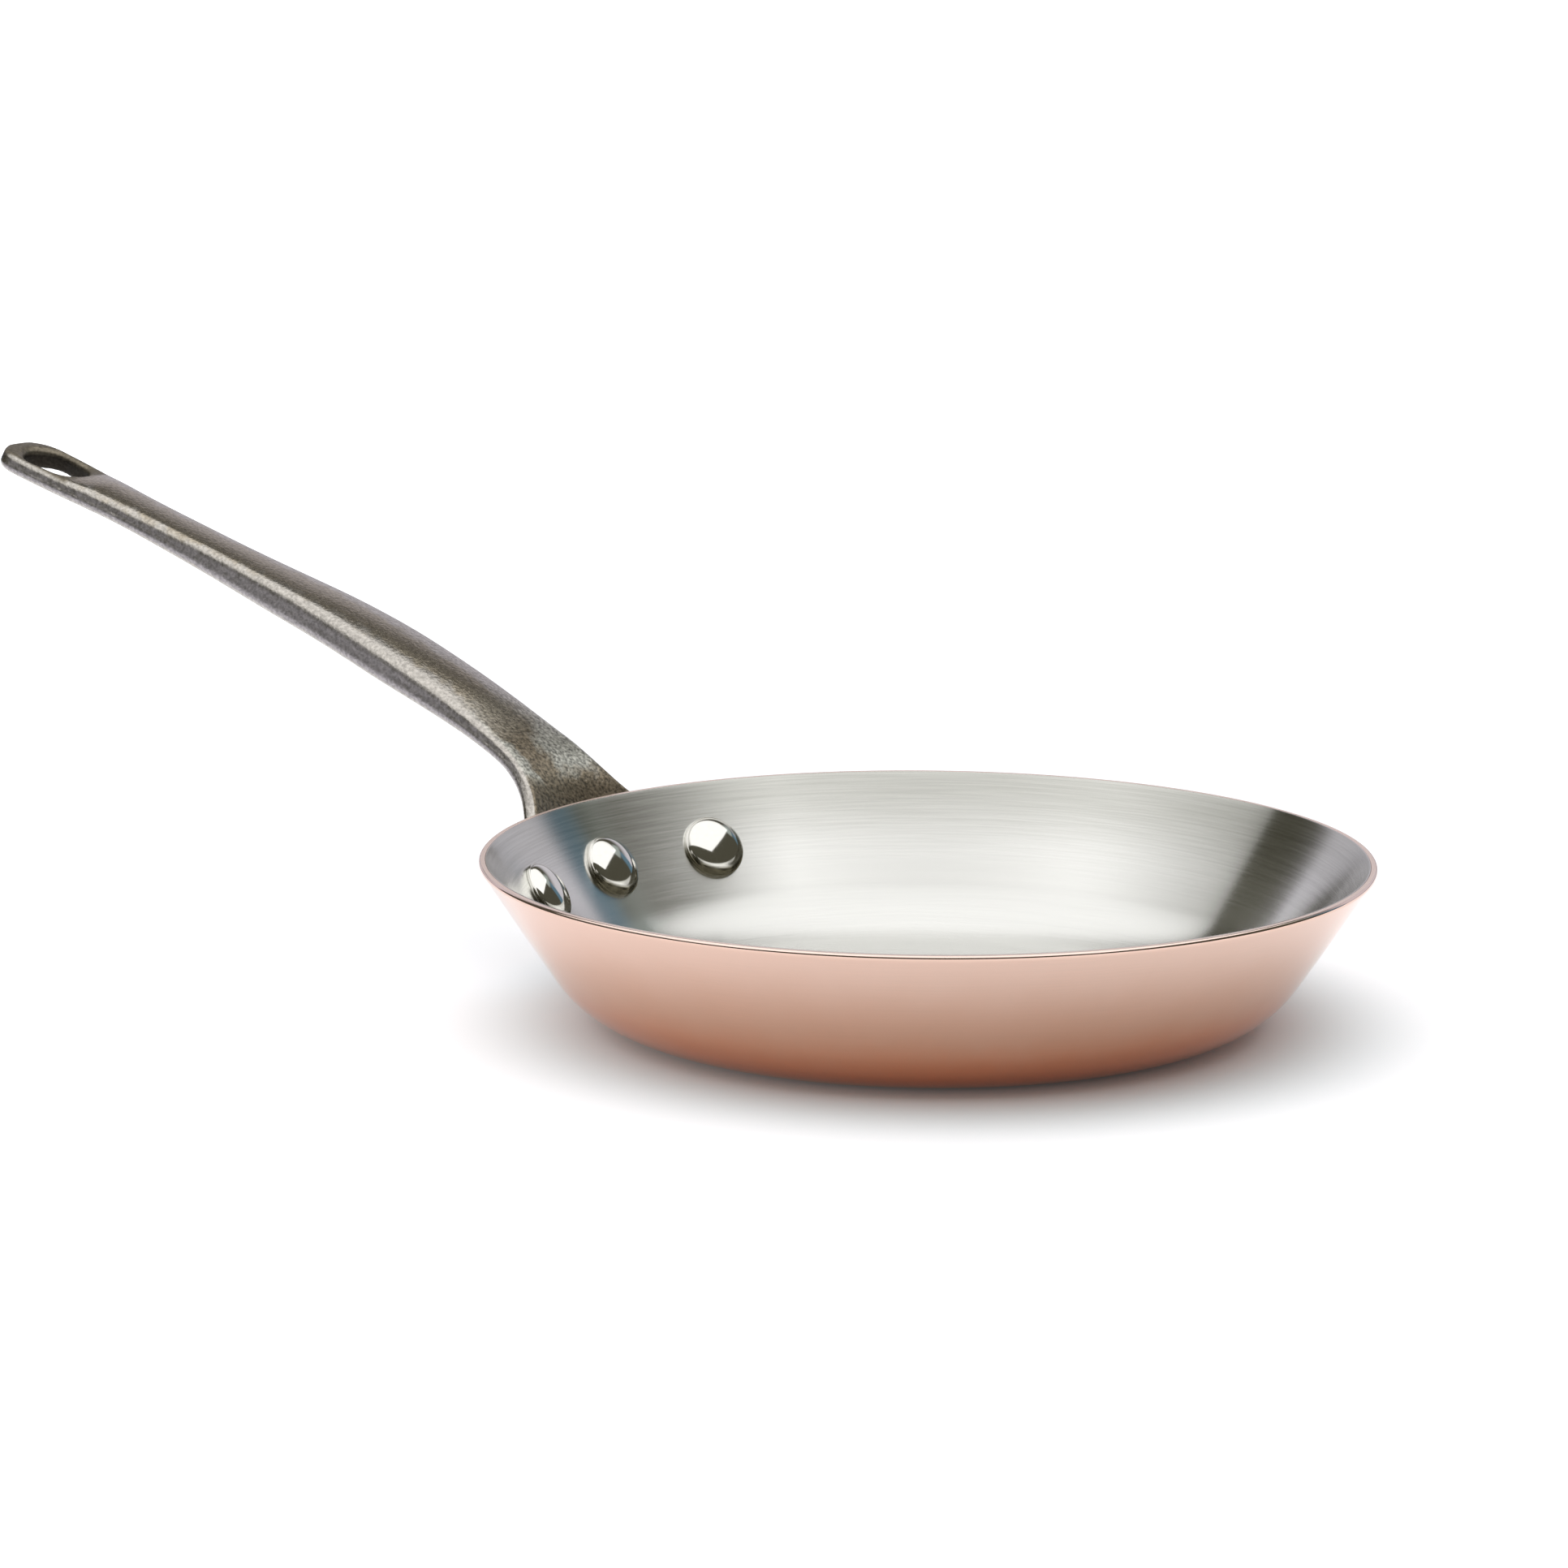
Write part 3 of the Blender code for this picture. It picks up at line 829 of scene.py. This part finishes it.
@dataclass(frozen=True)
class Rivets:
    """Three rivets: a broad dome inside the pan, a shank, and a low head behind the flange."""

    row: RivetRow
    finish: Finish = PolishedRivetSteel()
    head_radius: float = 0.0076
    head_edge: float = 0.0008
    head_crown: float = 0.0031
    back_radius: float = 0.0055
    back_edge: float = 0.0006
    back_crown: float = 0.0014
    cap_share: float = 0.95
    cap_turn: float = math.radians(84.0)
    cap_steps: int = 24
    edge_steps: tuple[int, int] = (7, 3)
    crease: Point = (0.012, 0.06)
    bead: Point = (0.025, 0.02)
    bead_foot: float = 0.45
    foot_round: float = 0.25
    foot_share: float = 0.98
    edge_shade_gather: float = 0.20
    sharp_angle: float = math.radians(50.0)
    steps: int = 96

    def head(self, radius: float, seat: float, edge: float, crown: float) -> list[Point]:
        """Trace a head: a flat dome, a fine crease round it and a beaded edge.

        Args:
            radius: Radius of the head.
            seat: Height of its underside.
            edge: Height of the bead above the seat, negative for a head that looks down.
            crown: Rise of the oval dome over the bead, with the edge's sign.

        Returns:
            Points (r, z) from the middle out to the seat.
        """
        cap, top = self.cap_share * radius, seat + edge
        line = []
        for step in range(self.cap_steps + 1):
            turn = self.cap_turn * step / self.cap_steps
            line.append((cap * math.sin(turn) / math.sin(self.cap_turn),
                         top + crown * (math.cos(turn) - math.cos(self.cap_turn))))
        (crease_out, crease_down), (bead_out, bead_down) = self.crease, self.bead
        line.append((cap + crease_out * radius, top - crease_down * edge))
        line += rounded((cap + bead_out * radius, top - bead_down * edge), (radius, top),
                        (radius, seat + self.bead_foot * edge), self.edge_steps[0])
        line += rounded((radius, seat + self.foot_round * edge), (radius, seat),
                        (self.foot_share * radius, seat), self.edge_steps[1])
        return line

    def fit_wall(self, mesh: BMesh, seat: float, bow: float) -> None:
        """Bend the inner head's underside down on the lining's round wall.

        Args:
            mesh: The rivet, in its own frame.
            seat: Height of the head's underside.
            bow: How far the wall bends up under the head's edge.
        """
        for vert in mesh.verts:
            share = (seat + self.head_edge - vert.co.z) / self.head_edge
            if vert.co.z > seat - 1e-6 and share > 0.0:
                vert.co.z -= min(share, 1.0) * bow * (1.0 - (vert.co.x / self.head_radius) ** 2)

    def edge_shade(self, spot: Vector) -> float:
        """Strength of the painted edge shade at a point: it lies round the edge and gathers at the foot."""
        out = math.hypot(spot.x, spot.y) / self.head_radius
        return out - self.edge_shade_gather * (1.0 + spot.y / self.head_radius)

    def build(self) -> list[Object]:
        """Build and dress the three rivets.

        Returns:
            The rivets.
        """
        row, pan = self.row, self.row.pan
        bow = self.head_radius ** 2 * math.sin(pan.wall_angle) / (2.0 * row.circle)
        inner_seat = pan.wall_thickness + bow
        outer_seat = -(row.flange_thickness + 2.0 * row.clearance)
        outline = self.head(self.head_radius, inner_seat, self.head_edge, self.head_crown)
        outline += [(row.shank_radius, inner_seat), (row.shank_radius, outer_seat)]
        outline += self.head(self.back_radius, outer_seat, -self.back_edge, -self.back_crown)[::-1]
        steel = self.finish.material()
        pieces = []
        for place in RivetPlace:
            mesh = revolve(outline, self.steps)
            self.fit_wall(mesh, inner_seat, bow)
            edge_shade = [self.edge_shade(vert.co) for vert in mesh.verts]
            made = to_object(mesh, place.value[0] + "_polished")
            made.data.attributes.new(EDGE_SHADE, "FLOAT", "POINT").data.foreach_set("value", edge_shade)
            made.data.transform(row.frame(place))
            made.data.set_sharp_from_angle(angle=self.sharp_angle)
            pieces.append(dress(made, steel, place.value[0]))
        return pieces


@dataclass(frozen=True)
class HandleCasting:
    """Iron handle in one casting: flange round the wall, neck, long bowed grip and hanging eye."""

    pan: PanForm
    rivets: RivetRow
    finish: Finish = SandCastIron()
    reach_past_rim: float = 0.1881
    seat_gap: float = 0.0003
    thickness: float = 0.0035
    flange_top: float = 0.0025
    flange_bottom: float = 0.0270
    flange_half_width: float = 0.0460
    flange_power: float = 4.0
    swell_start: float = 0.0105
    neck_start: float = 0.0026
    neck_bend: float = 0.0320
    neck_rise: float = math.radians(27.9)
    bow: float = 0.352
    grip_rise: float = math.radians(15.25)
    wrap_end: float = 0.0165
    root_half: float = 0.0180
    root_lean: float = 0.0005
    root_flare: float = 0.0092
    neck_half: float = 0.0111
    taper_start: float = 0.060
    waist_half: float = 0.0076
    waist_from_tip: float = 0.0703
    eye_half: float = 0.0094
    eye_swell_from_tip: float = 0.0503
    eye_power: float = 2.6
    neck_depth: float = 0.0046
    deepens: Span = (0.010, 0.065)
    grip_depth: float = 0.0079
    grip_depth_end: float = 0.090
    eye_depth: float = 0.0053
    eye_depth_from_tip: float = 0.0353
    crown_share: float = 0.130
    crown_grows: Span = (0.005, 0.043)
    eye_crown_share: float = 0.04
    eye_flat_from_tip: float = 0.0340
    side_share: float = 0.80
    arris_share: float = 0.27
    arris_round: float = 0.0030
    neck_arris: float = 0.0011
    arris_full_at: float = 0.050
    flange_round: float = 0.0008
    side_lean: float = 0.0006
    lean_share: float = 0.3
    lower_round: float = 0.0018
    upper_limit: float = 0.45
    lower_limit: float = 0.40
    eye_end_wall: float = 0.0055
    eye_side_wall: float = 0.0031
    eye_length: float = 0.0186
    eye_narrowing: float = 0.0007
    eye_lip: float = 0.0013
    cutter_past: float = 0.002
    end_trim: float = 0.0004
    top_steps: int = 22
    side_steps: tuple[int, int] = (7, 9)
    lip_steps: int = 8
    eye_steps: int = 36
    flange_rings: int = 60
    grip_rings: int = 150
    tip_rings: int = 24
    voxel: float = 0.00035
    fairing: int = 6

    def line(self, along: float) -> tuple[float, float, float]:
        """Follow the handle's line from the rim.

        Args:
            along: Distance along the line, negative down the flange.

        Returns:
            Distance from the pan's axis, height and slope.
        """
        pan = self.pan
        radius = pan.rim_radius + (self.seat_gap + 0.5 * self.thickness) / pan.up.y
        height, slope = pan.height, pan.wall_angle
        straight = min(along, self.neck_start)
        radius += straight * math.cos(slope)
        height += straight * math.sin(slope)
        along -= straight
        for bend, end_slope in ((self.neck_bend, self.neck_rise), (self.bow, self.grip_rise)):
            turn = min(along / bend, slope - end_slope)
            radius += bend * (math.sin(slope) - math.sin(slope - turn))
            height += bend * (math.cos(slope - turn) - math.cos(slope))
            slope -= turn
            along -= bend * turn
        return radius + along * math.cos(slope), height + along * math.sin(slope), slope

    @property
    def length(self) -> float:
        """Add up the handle's line.

        Returns:
            Its length from the rim to the tip.
        """
        bends = self.neck_start + self.neck_bend * (self.pan.wall_angle - self.neck_rise)
        bends += self.bow * (self.neck_rise - self.grip_rise)
        reach = self.pan.rim_radius + self.reach_past_rim - self.line(bends)[0]
        return bends + reach / math.cos(self.grip_rise)

    @property
    def eye_start(self) -> float:
        """Distance along the line to the eye's end that is nearer the pan."""
        return self.length - self.eye_end_wall - self.eye_length

    def half_width(self, along: float) -> float:
        """Work out the casting's width.

        Args:
            along: Distance along the handle's line.

        Returns:
            Half of the width there.
        """
        length = self.length
        tip = length - self.eye_half
        waist = ease(along, self.taper_start, length - self.waist_from_tip)
        width = mix(self.neck_half, self.waist_half, waist)
        width = mix(width, self.eye_half, ease(along, length - self.eye_swell_from_tip, tip))
        width += (self.root_half - self.neck_half) * math.exp(-along / self.root_flare)
        if along < 0.0:
            middle = -0.5 * (self.flange_top + self.flange_bottom)
            half_height = 0.5 * (self.flange_bottom - self.flange_top)
            power = self.flange_power
            share = min(abs(along - middle) / half_height, 1.0)
            plate = self.flange_half_width * (1.0 - share ** power) ** (1.0 / power)
            width *= ease(along, middle, 0.0)
            width = (width ** power + plate ** power) ** (1.0 / power)
        if along > tip:
            share = min((along - tip) / self.eye_half, 1.0)
            width *= (1.0 - share ** self.eye_power) ** (1.0 / self.eye_power)
        return width

    def section(self, along: float) -> list[Point]:
        """Trace the casting's cross-section.

        Args:
            along: Distance along the handle's line.

        Returns:
            Points (across, up) of its outline, in order.
        """
        half, length = self.half_width(along), self.length
        flat = 1.0 - ease(along, -self.swell_start, 0.0)
        arris = 0.5 * self.thickness * flat
        flattening = ease(along, length - self.eye_flat_from_tip, self.eye_start)
        crown = mix(self.crown_share, self.eye_crown_share, flattening) * half
        crown *= ease(along, *self.crown_grows)
        depth = mix(self.neck_depth, self.grip_depth, ease(along, *self.deepens))
        thinning = ease(along, self.grip_depth_end, length - self.eye_depth_from_tip)
        depth = mix(mix(depth, self.eye_depth, thinning), 0.5 * self.thickness, flat)
        side = mix(self.side_share * depth, depth, flat)
        upper_round = mix(self.neck_arris, self.arris_round, ease(along, 0.0, self.arris_full_at))
        upper_round = min(mix(upper_round, self.flange_round, flat), self.arris_share * half,
                          self.upper_limit * (arris + side))
        lower_round = min(self.lower_round, self.lower_limit * half, self.lower_limit * (arris + side))
        shoulder = half - self.side_lean * (1.0 - flat)
        upper, lower = shoulder - upper_round, half - lower_round
        across = [2.0 * step / self.top_steps - 1.0 for step in range(self.top_steps + 1)]
        top = [(x * upper, arris + crown * (1.0 - (x * upper / half) ** 2)) for x in across]
        under = [(x * lower, -side - (depth - side) * (1.0 - (x * lower / half) ** 2)) for x in across]
        edge = arris + crown * (1.0 - (shoulder / half) ** 2)
        side_top = (shoulder + self.lean_share * (half - shoulder), arris - upper_round)
        below = rounded(under[-1], (half, -side), (half, lower_round - side), self.side_steps[0])
        above = rounded(side_top, (shoulder, edge), top[-1], self.side_steps[1])
        right = below[1:] + above[:-1]
        return under + right + top[::-1] + [(-x, y) for x, y in right[::-1]]

    def point(self, along: float, across: float, up: float) -> Vector:
        """Place a section's point: round the wall on the flange, straight on the grip.

        Args:
            along: Distance along the handle's line.
            across: Distance to the side of the line.
            up: Distance above the line.

        Returns:
            The point in the row frame.
        """
        radius, height, slope = self.line(along)
        across += self.root_lean * math.exp(-max(along, 0.0) / self.root_flare)
        turn = across / radius
        out = radius - up * math.sin(slope)
        wrap = 1.0 - ease(along, 0.0, self.wrap_end)
        return Vector((-mix(out, out * math.cos(turn), wrap), mix(across, out * math.sin(turn), wrap),
                       height + up * math.cos(slope)))

    def eye_cutter(self) -> BMesh:
        """Shape the eye's slot, narrowest halfway down and opening towards both faces.

        Returns:
            The closed cutter.
        """
        radius = self.eye_half - self.eye_side_wall
        narrow = radius - self.eye_narrowing
        outer, inner = self.eye_start + self.eye_length - radius, self.eye_start + narrow
        lean = math.asin((radius - narrow) / (outer - inner))
        levels = []
        for step in range(self.lip_steps + 1):
            turn = 0.5 * math.pi * step / self.lip_steps
            levels.append((-self.eye_lip * (1.0 - math.sin(turn)), self.eye_lip * (1.0 - math.cos(turn))))
        levels.append((self.cutter_past, self.eye_lip))
        rings = []
        for up, grow in [(-self.eye_depth - up, grow) for up, grow in levels[::-1]] + levels:
            ring = []
            for centre, size, side in ((outer, radius + grow, 1.0), (inner, narrow + grow, -1.0)):
                sweep = 0.5 * math.pi + side * lean
                for step in range(self.eye_steps + 1):
                    turn = sweep * (2.0 * step / self.eye_steps - 1.0)
                    ring.append(self.point(centre + side * size * math.cos(turn),
                                           side * size * math.sin(turn), up))
            rings.append(ring)
        return loft(rings)

    def build(self) -> list[Object]:
        """Build and dress the handle.

        Returns:
            The handle alone.
        """
        start, end = self.end_trim - self.flange_bottom, self.length - self.end_trim
        tip = self.length - self.eye_half
        flange, grip, last = self.flange_rings, self.grip_rings, self.tip_rings
        places = [mix(start, 0.0, 0.5 - 0.5 * math.cos(math.pi * step / flange)) for step in range(flange)]
        places += [tip * step / grip for step in range(grip)]
        places += [tip + (end - tip) * math.sin(0.5 * math.pi * step / last) for step in range(last + 1)]
        rings = [[self.point(along, x, y) for x, y in self.section(along)] for along in places]
        made = to_object(loft(rings), "iron_handle")
        cut(made, [self.eye_cutter()] + self.rivets.holes())
        remesh = made.modifiers.new("even_skin", "REMESH")
        remesh.mode = "VOXEL"
        remesh.voxel_size = self.voxel
        fair = made.modifiers.new("soft_edges", "SMOOTH")
        fair.iterations = self.fairing
        settle(made)
        return [dress(made, self.finish.material(), "handle")]


@dataclass(frozen=True)
class Softbox:
    """Large flat studio lamp, level over the pan, that fades towards its left end and its rear edge."""

    left: float = -2.75
    right: float = 1.52
    front: float = -1.40
    back: float = 1.24
    height: float = 1.50
    radiance: float = 1.14
    full_from: float = -1.10
    left_level: float = 0.30
    full_to: float = 0.88
    back_level: float = 0.80

    def build(self) -> None:
        """Build the lamp."""
        data = bpy.data.lights.new("overhead_softbox", "AREA")
        data.shape = "RECTANGLE"
        data.size, data.size_y = self.right - self.left, self.back - self.front
        data.energy = math.pi * self.radiance * data.size * data.size_y
        data.use_nodes = True
        tree = data.node_tree
        add = partial(add_node, tree)
        spot = add("NewGeometry").outputs["Position"]
        levels = []
        for way, *values in ((RIGHTWARDS, self.left, self.full_from, self.left_level, 1.0),
                             (BACKWARDS, self.full_to, self.back, 1.0, self.back_level)):
            reach = add("VectorMath", [spot, way], operation="DOT_PRODUCT")
            levels.append(add("MapRange", [reach, *values], **SMOOTH))
        level = add("Math", levels, operation="MULTIPLY")
        tree.links.new(level.outputs[0], tree.nodes["Emission"].inputs["Strength"])
        made = bpy.data.objects.new("overhead_softbox", data)
        middle = Vector((0.5 * (self.left + self.right), 0.5 * (self.front + self.back), self.height))
        made.matrix_world = Matrix.Rotation(VIEW_AZIMUTH, 4, "Z") @ Matrix.Translation(middle)
        made.visible_camera = False
        bpy.context.scene.collection.objects.link(made)


@dataclass(frozen=True)
class Panel:
    """Flat thing on the rear wall that the polished metals mirror, with a soft fade at each edge."""

    colour: str
    edges: tuple[tuple[Aim, float, float], ...]
    foot_level: float = 1.0


@dataclass(frozen=True)
class Studio:
    """White floor, and a dark room with a window, a blind and a pale backdrop on its rear wall."""

    softbox: Softbox = Softbox()
    floor_radius: float = 6.0
    floor_sides: int = 96
    floor_colour: str = "#F1F2F8"
    # Glow that rises away from the pan: it paints the fade and lean of the pan's shadow
    lift: float = 0.49
    lift_reach: Span = (0.052, 0.115)
    lift_shift: Point = (0.005, -0.003)
    # Cyan by the pan: a painted cool tint over the copper's warm bounce
    lift_near: str = "#DEFBFF"
    lift_far: str = "#FFFFFF"
    lift_far_reach: Span = (0.080, 0.115)
    far_lift: float = 0.6
    far_reach: Span = (0.3, 1.2)
    room: str = "#4D4B40"
    ahead_least: float = 0.01
    in_front: Span = (0.0, 0.02)
    foot: Span = (0.03, 0.18)
    window: Panel = Panel("#5F7B8C", ((Aim.ACROSS, 1.10, 1.18), (Aim.ACROSS, 1.85, 1.60), (Aim.UP, 1.2, 0.9)))
    blind: Panel = Panel("#A3ABA7", ((Aim.ACROSS, 0.70, 0.95), (Aim.ACROSS, 2.10, 1.90),
                                     (Aim.LIFT, 0.48, 0.54), (Aim.LIFT, 0.66, 0.62)))
    backdrop: Panel = Panel("#CFCCD3", ((Aim.ACROSS, -0.92, -0.86), (Aim.ACROSS, 1.22, 1.14),
                                        (Aim.UP, 0.88, 0.45)), foot_level=0.6)

    def floor(self) -> None:
        """Build the floor as a wide disc that camera and metal see white and that keeps the pan's shadow. A
        glow painted round the pan shapes the shadow's fade and lean, and tints it cool near the pan.
        """
        mesh = bmesh.new()
        bmesh.ops.create_circle(mesh, cap_ends=True, radius=self.floor_radius, segments=self.floor_sides)
        made = to_object(mesh, "studio_floor")
        paint = bpy.data.materials.new("paper_matt_white")
        paint.use_nodes = True
        paint.node_tree.nodes.clear()
        add = partial(add_node, paint.node_tree)
        matt = add("BsdfDiffuse", {"Color": linear(self.floor_colour)})
        path = add("LightPath").outputs
        seen = add("Math", [path["Is Camera Ray"], path["Is Glossy Ray"]], operation="MAXIMUM")
        # Painted shadow shape: the glow is nil by the pan and rises outwards from a point a little off its
        # middle
        shift = RIGHTWARDS * self.lift_shift[0] + BACKWARDS * self.lift_shift[1]
        place = add("VectorMath", [add("TexCoord").outputs["Object"], shift], operation="SUBTRACT")
        radius = add("VectorMath", [place], operation="LENGTH")
        rise = add("MapRange", [radius, *self.lift_reach, 0.0, self.lift], **SMOOTH)
        glow = add("Math", [seen, rise], operation="MULTIPLY")
        far = add("MapRange", [radius, *self.far_reach, 0.0, self.far_lift], **SMOOTH)
        glow = add("Math", [far, path["Is Camera Ray"], glow], operation="MULTIPLY_ADD")
        tint = add("Mix", {0: add("MapRange", [radius, *self.lift_far_reach]), 6: linear(self.lift_near),
                           7: linear(self.lift_far)}, **RGBA)
        both = add("AddShader", [matt, add("Emission", {"Color": tint, "Strength": glow})])
        add("OutputMaterial", {"Surface": both})
        made.data.materials.append(paint)

    def world(self) -> None:
        """Make the room: white to the camera, and the dark room with its panels to everything else."""
        world = bpy.data.worlds.new("studio_room")
        bpy.context.scene.world = world
        world.use_nodes = True
        world.node_tree.nodes.clear()
        add = partial(add_node, world.node_tree)
        heading = add("TexCoord").outputs["Generated"]
        across, away = (add("VectorMath", [heading, way], operation="DOT_PRODUCT")
                        for way in (RIGHTWARDS, BACKWARDS))
        lift = add("SeparateXYZ", [heading]).outputs[2]
        ahead = add("Math", [away, self.ahead_least], operation="MAXIMUM")
        measures = {Aim.ACROSS: add("Math", [across, ahead], operation="DIVIDE"),
                    Aim.UP: add("Math", [lift, ahead], operation="DIVIDE"), Aim.LIFT: lift}
        tone = linear(self.room)
        for panel in (self.window, self.blind, self.backdrop):
            mask = add("MapRange", [away, *self.in_front], **SMOOTH)
            for aim, none, full in panel.edges:
                edge = add("MapRange", [measures[aim], none, full], **SMOOTH)
                mask = add("Math", [mask, edge], operation="MULTIPLY")
            level = add("MapRange", [measures[Aim.UP], *self.foot, panel.foot_level, 1.0], **SMOOTH)
            pale = add("VectorMath", {0: linear(panel.colour)[:3], "Scale": level}, operation="SCALE")
            tone = add("Mix", {0: mask, 6: tone, 7: pale}, **RGBA)
        room, white = (add("Background", {"Color": colour}) for colour in (tone, linear("#FFFFFF")))
        shown = add("MixShader", [add("LightPath").outputs["Is Camera Ray"], room, white])
        add("OutputWorld", {"Surface": shown})

    def build(self) -> None:
        """Build the floor, the room and the lamp."""
        self.floor()
        self.world()
        self.softbox.build()


@dataclass(frozen=True)
class PhotoCamera:
    """Camera at the photograph's place, fitted to the rim, base and handle."""

    distance: float = 1.2
    elevation: float = math.radians(11.9625)
    azimuth: float = VIEW_AZIMUTH
    pan_left: float = -0.026751
    tilt_up: float = 0.013597
    roll: float = math.radians(0.25766)
    focal_pixels: float = 6632.82
    sensor: float = 36.0

    def build(self, aim_height: float) -> None:
        """Build the camera.

        Args:
            aim_height: Height on the pan's axis that the distance is measured from.
        """
        away = Vector((0.0, -math.cos(self.elevation), math.sin(self.elevation)))
        right = Vector((1.0, 0.0, 0.0))
        ahead = (-away + self.pan_left * right + self.tilt_up * right.cross(-away)).normalized()
        level = ahead.cross(Vector((0.0, 0.0, 1.0))).normalized()
        upright = level.cross(ahead)
        side = math.cos(self.roll) * level + math.sin(self.roll) * upright
        top = math.cos(self.roll) * upright - math.sin(self.roll) * level
        stand = Matrix((side, top, -ahead)).transposed().to_4x4()
        stand.translation = away * self.distance
        stand = Matrix.Rotation(self.azimuth, 4, "Z") @ stand
        stand.translation.z += aim_height
        data = bpy.data.cameras.new("photo_camera")
        data.sensor_width = self.sensor
        data.lens = self.focal_pixels * self.sensor / PHOTO_PIXELS
        made = bpy.data.objects.new("photo_camera", data)
        made.matrix_world = stand
        bpy.context.scene.collection.objects.link(made)
        bpy.context.scene.camera = made


def main() -> None:
    """Build the pan piece by piece, then its studio and camera."""
    logging.basicConfig(level=logging.INFO, format="%(name)s: %(message)s")
    pan = PanForm()
    row = RivetRow(pan)
    for assembly in (CopperBody(pan, row), SteelLining(pan, row), HandleCasting(pan, row), Rivets(row)):
        for piece in assembly.build():
            LOG.info("built %s: %d faces", piece.name, len(piece.data.polygons))
    Studio().build()
    PhotoCamera().build(pan.height)
    bpy.context.scene.view_settings.view_transform = "Standard"


if __name__ == "__main__":
    main()
